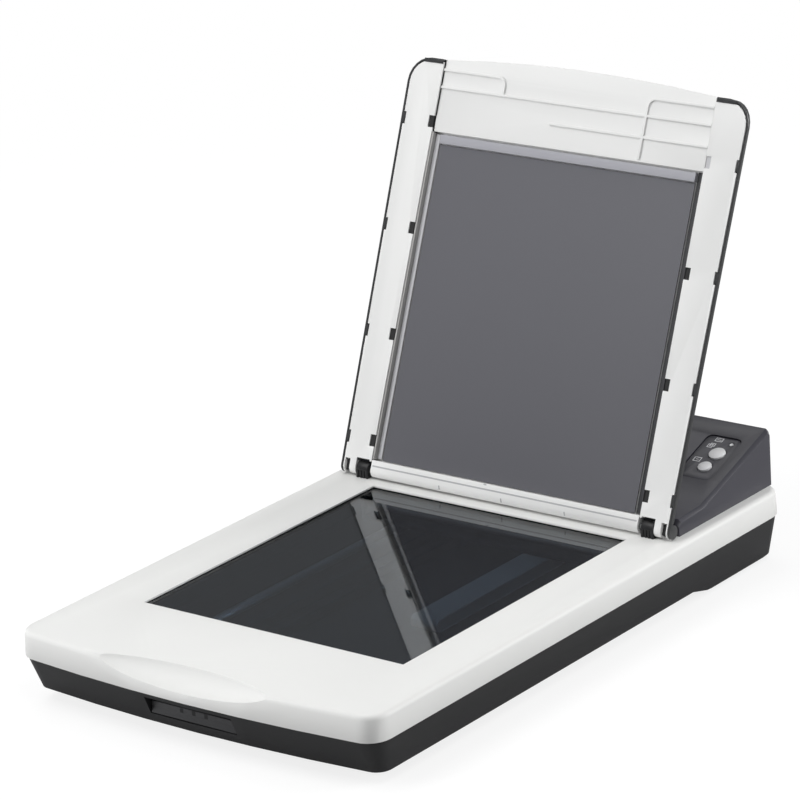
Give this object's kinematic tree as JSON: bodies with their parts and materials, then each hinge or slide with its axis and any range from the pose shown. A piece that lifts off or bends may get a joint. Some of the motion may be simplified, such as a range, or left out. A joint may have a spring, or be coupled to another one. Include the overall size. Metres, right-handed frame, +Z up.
{
  "type": "flatbed scanner",
  "caption": "Compact flatbed scanner with its hinged cover standing open, a glass bed, a rear housing with push buttons, and a belt-driven scan carriage inside.",
  "frame": {"origin": "on the table under the middle of the case", "axes": "+X to the right of the case, +Y to its rear, +Z up"},
  "size_m": [0.15, 0.237, 0.1675],
  "materials": {
    "cover_white": "fine matte moulding",
    "lid_white": "satin moulding",
    "case_charcoal": "fine matte moulding",
    "housing_slate": "satin moulding",
    "shell_charcoal": "satin moulding",
    "black_plastic": "matte",
    "button_white": "soft gloss",
    "natural_plastic": "waxy",
    "pad_grey": "smooth pad sheet",
    "strip_grey": "smooth",
    "bed_glass": "polished",
    "steel": "bright",
    "brass": "machined",
    "belt_rubber": "matte",
    "foot_rubber": "matte",
    "circuit_board": "solder mask",
    "ribbon_film": "film"
  },
  "bodies": {
    "case": {"base_tray": "case_charcoal", "top_cover": "cover_white", "front_plate": "case_charcoal", "scan_glass": "bed_glass", "glass_tape": "black_plastic", "calibration_strip": "cover_white", "rear_housing": "housing_slate", "control_panel": "housing_slate", "status_light": "button_white", "button_board": "circuit_board", "upper_switch": "black_plastic", "lower_switch": "black_plastic", "hinge_block_left": "black_plastic", "hinge_block_right": "black_plastic", "guide_shaft": "steel", "shaft_cap_front": "black_plastic", "shaft_cap_rear": "black_plastic", "stepper_motor": "steel", "motor_bracket": "steel", "motor_screw_left": "steel", "motor_screw_right": "steel", "gear_axle": "steel", "drive_belt": "belt_rubber", "idler_bracket": "black_plastic", "idler_axle": "steel", "tension_spring": "steel", "main_board": "circuit_board", "controller_chip": "black_plastic", "ribbon_socket": "natural_plastic", "sensor_ribbon": "ribbon_film", "usb_port": "steel", "power_jack": "black_plastic", "front_foot_left": "foot_rubber", "front_foot_right": "foot_rubber", "rear_foot_left": "foot_rubber", "rear_foot_right": "foot_rubber", "case_screw_1": "steel", "case_screw_2": "steel", "case_screw_3": "steel", "case_screw_4": "steel"},
    "lid": {"lid_shell": "shell_charcoal", "lid_rail_left": "lid_white", "lid_rail_right": "lid_white", "lid_inner_panel": "lid_white", "backing_pad": "pad_grey", "pad_foam": "belt_rubber", "grey_strip": "strip_grey", "hinge_pin_left": "steel", "hinge_pin_right": "steel"},
    "upper_button": {"upper_button": "button_white"},
    "lower_button": {"lower_button": "button_white"},
    "carriage": {"scan_carriage": "black_plastic", "image_sensor": "black_plastic", "lens_bar": "bed_glass", "light_guide": "natural_plastic", "sensor_spring_left": "steel", "sensor_spring_right": "steel"},
    "drive_gear": {"drive_gear": "natural_plastic"},
    "idler_pulley": {"idler_pulley": "natural_plastic"},
    "motor_pinion": {"motor_pinion": "brass"}
  },
  "joints": [
    {"name": "lid_hinge", "type": "hinge", "parent": "case", "child": "lid", "pos_m": [0, 0.0562, 0.0286], "axis": [1, 0, 0], "range_deg": [0, 112.74]},
    {"name": "upper_button_push", "type": "slide", "parent": "case", "child": "upper_button", "axis": [0, 0.3259, -0.9454], "range_m": [0, 0.0006], "stiffness_N_per_m": 800, "springref_m": -0.0003},
    {"name": "lower_button_push", "type": "slide", "parent": "case", "child": "lower_button", "axis": [0, 0.3259, -0.9454], "range_m": [0, 0.0006], "stiffness_N_per_m": 800, "springref_m": -0.0003},
    {"name": "carriage_slide", "type": "slide", "parent": "case", "child": "carriage", "axis": [0, -1, 0], "range_m": [0, 0.13]},
    {"name": "drive_gear_turn", "type": "hinge", "parent": "case", "child": "drive_gear", "pos_m": [-0.024, 0.0819, 0.0128], "axis": [0, 0, 1], "range_deg": [-1296, 0]},
    {"name": "idler_turn", "type": "hinge", "parent": "case", "child": "idler_pulley", "pos_m": [-0.024, -0.0916, 0.0094], "axis": [0, 0, 1], "range_deg": [-1296, 0]},
    {"name": "pinion_turn", "type": "hinge", "parent": "case", "child": "motor_pinion", "pos_m": [-0.03, 0.09995, 0.0193], "axis": [0, 0, 1], "range_deg": [0, 3239]}
  ],
  "couplings": [
    {"joint": "drive_gear_turn", "follows": "carriage_slide", "rad_per_m": -173.91},
    {"joint": "idler_turn", "follows": "carriage_slide", "rad_per_m": -173.91},
    {"joint": "pinion_turn", "follows": "carriage_slide", "rad_per_m": 434.78}
  ]
}
